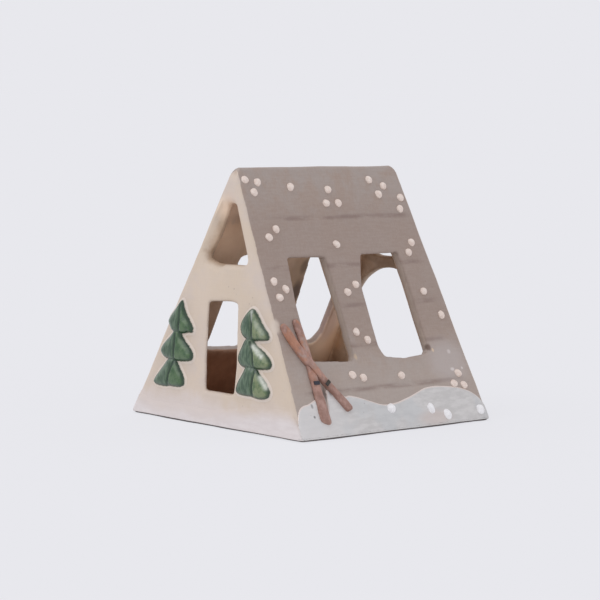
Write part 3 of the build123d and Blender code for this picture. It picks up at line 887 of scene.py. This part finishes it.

# Patches laid over the colours: place and reach each way in millimetres, colour and amount. Inside the house
# they are painted light and shade
INNER_LIGHT_AND_SHADE = (
    ((-5.0, -43.0, 95.0), (10, 12, 9), (250, 222, 196), 0.85),
    ((-10.8, -39.6, 82.4), (10, 14, 15), (244, 212, 182), 0.4),
    ((-38.0, 49.0, 28.5), (9, 6, 9), (240, 206, 172), 0.65),
    ((-20.9, 9.0, 61.9), (10, 9, 14), (150, 124, 94), 0.45),
    ((-25.2, 12.3, 53.4), (6, 4.5, 11), (66, 46, 36), 0.75),
    ((-18.9, 12.3, 66.1), (5, 3.5, 6), (92, 76, 56), 0.6),
    ((-33.8, 42.0, 36.0), (10, 8, 14), (182, 150, 140), 0.5),
    ((-32.5, 38.5, 43.0), (8, 4, 12), (116, 84, 68), 0.5),
)
# Outside: lighter and darker patches in the slip and glaze, dark dots and a tan nick at a window's corners,
# and a painted shadow beside the upright ski
CLAY_MARKS_AND_SHADOW = (
    ((33.8, -53.2, 46.8), (4, 3.4, 4.6), (214, 200, 186), 0.9),
    ((-0.5, -46.0, 98.5), (8, 6, 7), (226, 196, 172), 0.7),
    ((44.0, 42.0, 27.0), (30, 17, 13), (188, 178, 174), 0.55),
    ((20.5, 31.5, 73.5), (2, 2.2, 2), (96, 76, 66), 0.7),
    ((40.0, 33.5, 33.0), (3, 1.6, 2.2), (92, 66, 52), 0.7),
    ((41.2, 35.2, 31.8), (2, 0.9, 1.2), (222, 196, 166), 0.8),
    ((41.5, -12.8, 32.2), (2, 1.2, 2.2), (206, 182, 152), 0.6),
    ((42.5, 45.0, 30.7), (3, 1.6, 1.4), (214, 204, 200), 0.7),
    ((45.5, 43.6, 23.1), (3, 1.8, 1.0), (226, 218, 214), 0.7),
    ((45.5, 50.0, 23.2), (3, 0.8, 0.8), (226, 218, 214), 0.7),
    # Painted shadow beside the upright ski, with a dark stain
    ((47.5, -37.5, 18.0), (4, 1.4, 4.6), (96, 84, 78), 0.75),
)
# Painted shadows beside the skis on the snow glaze
SKI_SHADOWS_ON_SNOW = (
    ((50.0, -47.2, 14.0), (3, 0.9, 1.4), (130, 126, 124), 0.7),
    ((52.0, -47.5, 9.7), (3, 0.8, 0.8), (90, 86, 86), 0.8),
    ((48.0, -34.5, 19.0), (4, 1.1, 2.6), (132, 124, 120), 0.6),
)
SNOW_BLUSH = (((55.0, 23.0, 4.0), (6, 14, 5), (208, 192, 184), 0.6),)
# Painted light on the inside of the left roof towards the back, where light comes in through the windows
BARE_PAINTED_LIGHT = (((-42.0, 48.0, 34.0), (22, 20, 22), (244, 214, 184), 1.0),)


# Effects that several materials share: each is a node group, built once and placed with its own values
SOCKET_KINDS = {"Place": "Vector", "Middle": "Vector", "Reach": "Vector", "Scales": "Vector",
                "Under": "Color", "Shade": "Color", "Colour": "Color"}


def effect(name, inputs, outputs):
    """Turn a function of wires into a shader node group; a call of it then places one use of the group."""
    def grouped(fill):
        group = bpy.data.node_groups.new(name, "ShaderNodeTree")
        for words, way in ((inputs, "INPUT"), (outputs, "OUTPUT")):
            for word in words:
                kind = "NodeSocket" + SOCKET_KINDS.get(word, "Float")
                group.interface.new_socket(word, in_out=way, socket_type=kind)
        given = group.nodes.new("NodeGroupInput").outputs
        results = fill(*(Wire(given[word]) for word in inputs))
        feed(group, group.nodes.new("NodeGroupOutput"), dict(zip(outputs, results)))

        def use(*values):
            tree = values[0].socket.id_data
            made = tree.nodes.new("ShaderNodeGroup")
            made.node_tree = group
            feed(tree, made, dict(zip(inputs, values)))
            wires = [Wire(made.outputs[word]) for word in outputs]
            return wires if len(wires) > 1 else wires[0]
        return use
    return grouped


@effect("drawn grain", ("Place", "Scales", "Detail"), ("Grain",))
def drawn_grain(place, scales, detail):
    """Noise drawn out along an axis, as a brush or a roller leaves it; the scales are per metre."""
    return [noisy(vectors("MULTIPLY", place, scales), 1.0, detail)]


@effect("brushed clay", ("Place",), ("Height", "Mottle", "Weave", "Speck"))
def brushed_clay(place):
    """Grain, brush marks and uneven slip, shared by every clay and glaze surface."""
    weave = drawn_grain(place, (180, 180, 1500), 3) * 0.5 + drawn_grain(place, (1300, 1300, 160), 3) * 0.5
    height = weave * 0.8 + noisy(place, 2600, 4, 0.6) * 0.5
    mottle = noisy(place, 42, 4, 0.6) * 0.65 + noisy(place, 190, 3, 0.6) * 0.35
    pits = node("TexVoronoi", {"Vector": place, "Scale": 420.0}, "Distance")
    speck = (1 - fade(pits, 0.10, 0.22)) * fade(noisy(place, 95, 2), 0.60, 0.66)
    return height, mottle, weave, speck


@effect("wall depths", ("Place",), ("Roof", "Gable"))
def wall_depths(place):
    """How deep a place lies behind the roofs' and the gables' outer faces."""
    across, along, up = axes(place)
    roof_in = (BASE_WIDTH / 2 - maths("ABSOLUTE", across)) * (APEX_HEIGHT / ROOF_SLOPE)
    gable_in = (BASE_LENGTH / 2 - maths("ABSOLUTE", along)) * (APEX_HEIGHT / GABLE_SLOPE)
    return roof_in - up * (BASE_WIDTH / 2 / ROOF_SLOPE), gable_in - up * (GABLE_LEAN / GABLE_SLOPE)


@effect("mark and painted light patch", ("Under", "Place", "Middle", "Reach", "Shade", "Amount"), ("Colour",))
def touch(under, place, middle, reach, shade, amount):
    """A colour laid over another at a chosen place, fading out at its reach in each direction."""
    away = vectors("LENGTH", vectors("DIVIDE", vectors("SUBTRACT", place, middle), reach), output="Value")
    return [mixed((1 - fade(away, 0.35, 1.0)) * amount, under, shade)]


def touched(under, place, touches, share=1):
    """A colour with a table of touches laid over it, each taken by a share of its amount."""
    for middle, reach, shade, amount in touches:
        under = touch(under, place, *in_metres((middle, reach)), colour(*shade), share * amount)
    return under


@effect("bare clay", ("Place", "Mottle"), ("Colour",))
def bare_clay(place, mottle):
    """Fired clay with no slip, in painted light and shade: tan where light reaches, a deeper brown low down
    in shade.
    """
    _, along, up = axes(place)
    patches = fade(mottle, 0.38, 0.62)
    tan = mixed(patches, (222, 194, 166), (206, 174, 144))
    dull = mixed(patches, (196, 168, 144), (178, 148, 122))
    deep = mixed(patches, (172, 126, 96), (150, 106, 78))
    # Painted light where it comes in through the windows
    dull = touched(dull, place, BARE_PAINTED_LIGHT)
    # Painted shade: a deeper brown low down towards the front
    low = (1 - fade(up, 0.022, 0.038)) * (1 - fade(along, 0.012, 0.040))
    return [mixed(low, mixed(fade(up, 0.058, 0.084), dull, tan), deep)]


@effect("gable slip", ("Place", "Mottle"), ("Colour",))
def gable_slip(place, mottle):
    """Cream slip, warmer in broad patches and paler down by the snow."""
    cream = mixed(fade(mottle, 0.40, 0.60), (212, 195, 178), (207, 192, 180))
    warm = fade(noisy(place, 24, 2), 0.45, 0.62) * 0.6
    cream = mixed(warm, cream, (208, 190, 169))
    unevenly = axes(place)[2] + (mottle - 0.5) * 0.03
    return [mixed((1 - fade(unevenly, 0.006, 0.016)) * 0.8, cream, (214, 203, 199))]


@effect("shadowed foot", ("Under", "Place"), ("Colour",))
def shadowed_foot(under, place):
    """The lowest half millimetre: bare dark clay where there is no glaze, painted darker as the contact
    shadow under the foot.
    """
    return [mixed(1 - fade(axes(place)[2], 0.0006, 0.0011), under, (64, 54, 54))]


# Paints: each turns a place into the height that its bump follows, its base colour and sometimes more


def stoneware(place):
    """Slab clay: cream slip on the gables, taupe slip on the roofs and bare brown clay inside."""
    height, mottle, weave, speck = brushed_clay(place)
    roof_in, gable_in = wall_depths(place)
    across, along, up = axes(place)
    wobble = (noisy(place, 260) - 0.5) * 0.0016
    depth = maths("MINIMUM", roof_in, gable_in) + wobble
    on_gable = fade(roof_in - gable_in + wobble, -0.0010, -0.0006)
    # Painted shade: the gables' reveals take the darker inner colours from about a millimetre in
    shaded_gable_reveal = on_gable * fade(depth, 0.0007, 0.0026)
    inside = maths("MAXIMUM", fade(depth, 0.0032, 0.0043), shaded_gable_reveal)
    patches = fade(mottle, 0.40, 0.60)

    taupe = mixed(patches, (164, 145, 133), (166, 153, 145))
    taupe = mixed(between(up, 0.038, 0.096, 0.012) * 0.8, taupe, (157, 138, 127))
    taupe = mixed((1 - fade(up, 0.018, 0.042)) * 0.6, taupe, (178, 164, 154))
    # Painted shade along the plank lines' grooves
    off_line, *others = [maths("ABSOLUTE", up - level) for level in PLANK_HEIGHTS]
    for other in others:
        off_line = maths("MINIMUM", off_line, other)
    kept = fade(drawn_grain(place, (60, 60, 300), 3), 0.34, 0.62)
    ends = 1 - fade(maths("ABSOLUTE", along), 0.040, 0.052)
    taupe = mixed((1 - fade(off_line, PLANK_CORE, PLANK_BAND)) * kept * ends * 0.6, taupe, (128, 106, 98))

    slip = mixed(on_gable, taupe, gable_slip(place, mottle))
    slip = mixed(speck * 0.35, slip, (120, 96, 84))
    reveal = between(depth, 0.0011, 0.0034, 0.0004) - on_gable
    right = fade(across, -0.002, 0.002)
    # Painted light on the right roof's window reveals
    slip = mixed(reveal * right * 0.6, slip, (190, 174, 160))
    # Painted shade on the reveals at the back left, which the light reaches less
    shaded_back_left = (1 - right) * fade(along, 0.000, 0.004)
    slip = mixed(reveal * shaded_back_left * 0.8, slip, (138, 114, 98))
    slip = mixed(fade(weave, 0.40, 0.62) * 0.05, slip, (235, 226, 218))

    rim = on_gable * (1 - fade(depth, 0.0046, 0.0056)) * 0.85
    rim_shade = mixed(patches, (176, 153, 130), (152, 127, 105))
    final = mixed(inside, slip, mixed(rim, bare_clay(place, mottle), rim_shade))
    final = touched(final, place, CLAY_MARKS_AND_SHADOW)
    # Painted light and shade on the inside of the roofs
    final = touched(final, place, INNER_LIGHT_AND_SHADE, fade(roof_in, 0.0010, 0.0018))
    return height, shadowed_foot(final, place)


def floor_clay(place):
    height, mottle, _, _ = brushed_clay(place)
    return height, bare_clay(place, mottle)


def green_glaze(place):
    """Glaze over clay relief: dark where it pools, with painted light and shade: olive and lit on the right
    of each tier, shaded on the left.
    """
    height, mottle, _, _ = brushed_clay(place)
    pool, inset, sunny, painted_highlight = (attribute(place, word) for word in FIR_MARKS)
    streaks = fade(drawn_grain(place, (900, 900, 200), 4), 0.38, 0.62)
    blotch = fade(noisy(place, 330, 4, 0.6), 0.38, 0.62)
    shady = mixed(streaks, (50, 76, 54), (90, 112, 88))
    lit = mixed(blotch, (80, 104, 66), (134, 144, 102))
    lit_left = mixed(blotch, (50, 84, 48), (84, 112, 70))
    lit = mixed(1 - fade(axes(place)[0], -0.002, 0.002), lit, lit_left)
    green = mixed(sunny, shady, lit)
    green = mixed(fade(pool, 0.2, 0.9) * 0.9, green, (26, 52, 36))
    green = mixed(blotch * 0.22, green, (50, 80, 60))
    # White painted highlights along the right fir's lobes
    green = mixed(painted_highlight * fade(noisy(place, 420), 0.15, 0.6), green, (212, 216, 204))
    slip = mixed(fade(mottle, 0.4, 0.6), (222, 208, 194), (216, 203, 192))
    glazed = fade(inset + (noisy(place, 800) - 0.5) * 0.0006, -0.00012, 0.00022)
    gloss = {"Roughness": 0.62 - glazed * 0.44, "Coat Weight": glazed * 0.3}
    return height, mixed(glazed, slip, green), gloss


def snow_glaze(place):
    """Grey-white glaze with brush streaks, a pale line along its crest and a few dark specks."""
    height, _, _, speck = brushed_clay(place)
    streaks = fade(drawn_grain(place, (160, 160, 520), 4), 0.36, 0.64)
    snow = mixed(streaks, (199, 196, 193), (212, 209, 206))
    cool = fade(noisy(place, 60, 3), 0.48, 0.64)
    snow = mixed(cool * 0.5, snow, (194, 197, 198))
    snow = touched(snow, place, SNOW_BLUSH)
    # Painted highlight: whiter towards the roof's front end
    white = 1 - fade(axes(place)[1], -0.045, -0.015)
    snow = mixed(white * 0.6, snow, (222, 218, 216))
    rim = 1 - fade(attribute(place, "inset"), 0.0004, 0.0011)
    snow = mixed(rim * 0.75, snow, (228, 211, 201))
    snow = touched(snow, place, SKI_SHADOWS_ON_SNOW)
    snow = mixed(speck * 0.4, snow, (140, 130, 122))
    return height, shadowed_foot(snow, place)


def bank_glaze(place):
    """Thin snow glaze on the gable's foot: it fades upwards into the cream slip."""
    height, mottle, _, _ = brushed_clay(place)
    streaks = fade(drawn_grain(place, (120, 120, 420), 4), 0.36, 0.64)
    snow = mixed(streaks, (216, 207, 205), (222, 214, 212))
    ragged = (noisy(place, 110, 3) - 0.5) * 0.006
    glazed = fade(attribute(place, "inset") + ragged, 0.0010, 0.0072)
    return height, shadowed_foot(mixed(glazed, gable_slip(place, mottle), snow), place)


def white_slip(place):
    """Thick warm white slip; the drops that sit on the snow glaze are cooler."""
    height, _, _, _ = brushed_clay(place)
    cloud = fade(noisy(place, 900, 3), 0.35, 0.65)
    warm = mixed(cloud, (230, 211, 199), (241, 227, 216))
    cold = mixed(cloud, (240, 238, 238), (250, 249, 249))
    white = mixed(fade(axes(place)[2], 0.0110, 0.0135), cold, warm)
    # Darker flecks: painted shade in the slip's creases
    creases = fade(noisy(place, 1500, 4, 0.7), 0.60, 0.70)
    return height, mixed(creases * 0.35, white, (190, 170, 158))


def ski_clay(place):
    """Red-brown slip, with orange and greyish patches towards the tips and darker streaks."""
    height, _, _, _ = brushed_clay(place)
    high = fade(axes(place)[2], 0.014, 0.036)
    blotch = fade(noisy(place, 240, 4, 0.6), 0.38, 0.62)
    brown = mixed(blotch, (152, 116, 103), (180, 144, 132))
    worn = fade(noisy(place, 170, 3), 0.44, 0.58)
    brown = mixed(worn * high * 0.6, brown, (190, 128, 94))
    greyish = fade(noisy(place, 210, 3), 0.52, 0.66)
    brown = mixed(greyish * high * 0.6, brown, (176, 156, 146))
    streaks = fade(drawn_grain(place, (900, 900, 260), 4), 0.40, 0.60)
    return height, mixed(streaks * 0.2, brown, (126, 88, 74))


def black_glaze(place):
    """The bindings' glaze: blue-black on the front one and olive-black on the other."""
    height, mottle, _, _ = brushed_clay(place)
    patches = fade(mottle, 0.4, 0.6)
    olive = mixed(patches, (40, 36, 26), (62, 56, 42))
    blue = mixed(patches, (24, 25, 36), (42, 43, 56))
    return height, mixed(fade(axes(place)[1], -0.0385, -0.0365), blue, olive)


def grained(scales, detail, low, high, dark, light):
    """A paint whose colour and bump both follow one grain."""
    def paint(place):
        grain = drawn_grain(place, scales, detail)
        return grain, mixed(fade(grain, low, high), dark, light)
    return paint


def material(name, paint, strength, depth, **constants):
    """A new material: a paint, its bump's strength and depth, and what is the same all over."""
    made = bpy.data.materials.new(name)
    made.use_nodes = True
    tree = made.node_tree
    place = Wire(tree.nodes.new("ShaderNodeTexCoord").outputs["Object"])
    height, base, *others = paint(place)
    normal = node("Bump", {"Height": height, "Strength": strength, "Distance": depth})
    fixed = {word.replace("_", " "): value for word, value in constants.items()}
    for wires in (fixed, {"Base Color": base, "Normal": normal}, *others):
        feed(tree, tree.nodes["Principled BSDF"], wires)
    return made


# Light: an even dome and one soft sun, so that colours show about as they are written
DOME_COLOUR = colour(232, 232, 237)
SUN_STRENGTH = 0.6
SUN_SPREAD = radians(50)
SUN_FROM = Vector((-0.55, -1.0, 1.15))
FLOOR_REACH = 30.0
FLOOR_SHADE = 0.14


def backdrop():
    """The pale floor: it glows as bright as the dome, less the light that its own shade sends back."""
    shape = bmesh.new()
    bmesh.ops.create_grid(shape, x_segments=1, y_segments=1, size=FLOOR_REACH)
    floor = shown(shape, "floor")
    made = bpy.data.materials.new("pale floor")
    made.use_nodes = True
    sunlight = SUN_STRENGTH * SUN_FROM.normalized().z / pi
    glow = [level - FLOOR_SHADE * (level + sunlight) for level in DOME_COLOUR[:3]]
    feed(made.node_tree, made.node_tree.nodes["Principled BSDF"], {
        "Base Color": (FLOOR_SHADE, FLOOR_SHADE, FLOOR_SHADE, 1), "Roughness": 1.0, "Specular IOR Level": 0,
        "Emission Color": (*glow, 1), "Emission Strength": 1})
    floor.data.materials.append(made)


def studio():
    world = bpy.data.worlds.new("studio")
    bpy.context.scene.world = world
    world.use_nodes = True
    world.node_tree.nodes["Background"].inputs["Color"].default_value = DOME_COLOUR
    lamp = bpy.data.lights.new("sun", "SUN")
    lamp.energy = SUN_STRENGTH
    lamp.angle = SUN_SPREAD
    sun = linked("sun", lamp)
    sun.rotation_mode = "QUATERNION"
    sun.rotation_quaternion = SUN_FROM.to_track_quat("Z", "Y")


def camera():
    """The photograph's camera."""
    lens = bpy.data.cameras.new("camera")
    lens.sensor_width = 36
    lens.lens = FOCAL_SHARE * lens.sensor_width
    lens.clip_start, lens.clip_end = 0.05, 100
    made = linked("camera", lens)
    made.location = CAMERA_PLACE
    right = Vector((CAMERA_AIM.y, -CAMERA_AIM.x, 0)).normalized()
    down = CAMERA_AIM.cross(right)
    rolled_right = cos(CAMERA_ROLL) * right + sin(CAMERA_ROLL) * down
    rolled_down = cos(CAMERA_ROLL) * down - sin(CAMERA_ROLL) * right
    made.rotation_mode = "QUATERNION"
    made.rotation_quaternion = Matrix((rolled_right, -rolled_down, -CAMERA_AIM)).transposed().to_quaternion()
    bpy.context.scene.camera = made


def painted(pieces, finish):
    """Give new pieces a material."""
    for piece in pieces:
        piece.data.materials.append(finish)


def repainted(name, finish):
    """Give a carried-over CAD node a better material."""
    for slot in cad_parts[name].material_slots:
        slot.material = finish


camera()
studio()
backdrop()
body = clay_body()
nearest_skin = skin_of(body)
painted(walls(body, nearest_skin), material("slab stoneware", stoneware, 0.45, 0.00022, Roughness=0.62))
painted([fir_tree("fir_tree_left", LEFT_TREE, LEFT_VEINS, ()),
         fir_tree("fir_tree_right", RIGHT_TREE, RIGHT_VEINS, RIGHT_HIGHLIGHT_STROKES)],
        material("green glaze", green_glaze, 0.25, 0.00018, Coat_Roughness=0.12))
painted([ski("ski_upright", UPRIGHT_CUT), ski("ski_crossing", CROSSING_CUT)],
        material("ski clay", ski_clay, 0.4, 0.0002, Roughness=0.48))
painted([bindings()], material("black glaze", black_glaze, 0.4, 0.0002, Roughness=0.3))
painted([snow_drops("snow_dots_right", 1), snow_drops("snow_dots_left", -1)],
        material("white slip", white_slip, 0.3, 0.0002, Roughness=0.5))
*drifts, bank = snow(nearest_skin)
painted(drifts, material("snow glaze", snow_glaze, 0.3, 0.0002, Roughness=0.34, Coat_Weight=0.3,
                         Coat_Roughness=0.2))
painted([bank], material("bank glaze", bank_glaze, 0.35, 0.0002, Roughness=0.5))
body.free()
repainted("floor_plate", material("bare floor clay", floor_clay, 0.6, 0.0003, Roughness=0.8))

foil = grained((500, 500, 3000), 3, 0.3, 0.7, (214, 215, 217), (232, 233, 235))
wax = grained((160, 160, 160), 4, 0.35, 0.65, (238, 235, 226), (246, 244, 238))
cotton = grained((4000, 4000, 1600), 3, 0.35, 0.65, (214, 208, 192), (240, 236, 226))
steel = grained((300, 3000, 300), 3, 0.3, 0.7, (176, 178, 180), (200, 202, 204))
painted([foil_cup()], material("cup foil", foil, 0.2, 0.0001, Roughness=0.32, Metallic=1.0))
painted([wax_cake()], material("candle wax", wax, 0.15, 0.0003, Roughness=0.38, Subsurface_Weight=0.3,
                               Subsurface_Radius=(0.004, 0.003, 0.002)))
painted([plaited_wick()], material("wick cotton", cotton, 0.6, 0.0003, Roughness=0.85))
repainted("wick_tab", material("tab steel", steel, 0.2, 0.0001, Roughness=0.35, Metallic=1.0))

bpy.context.scene.view_settings.view_transform = "Standard"
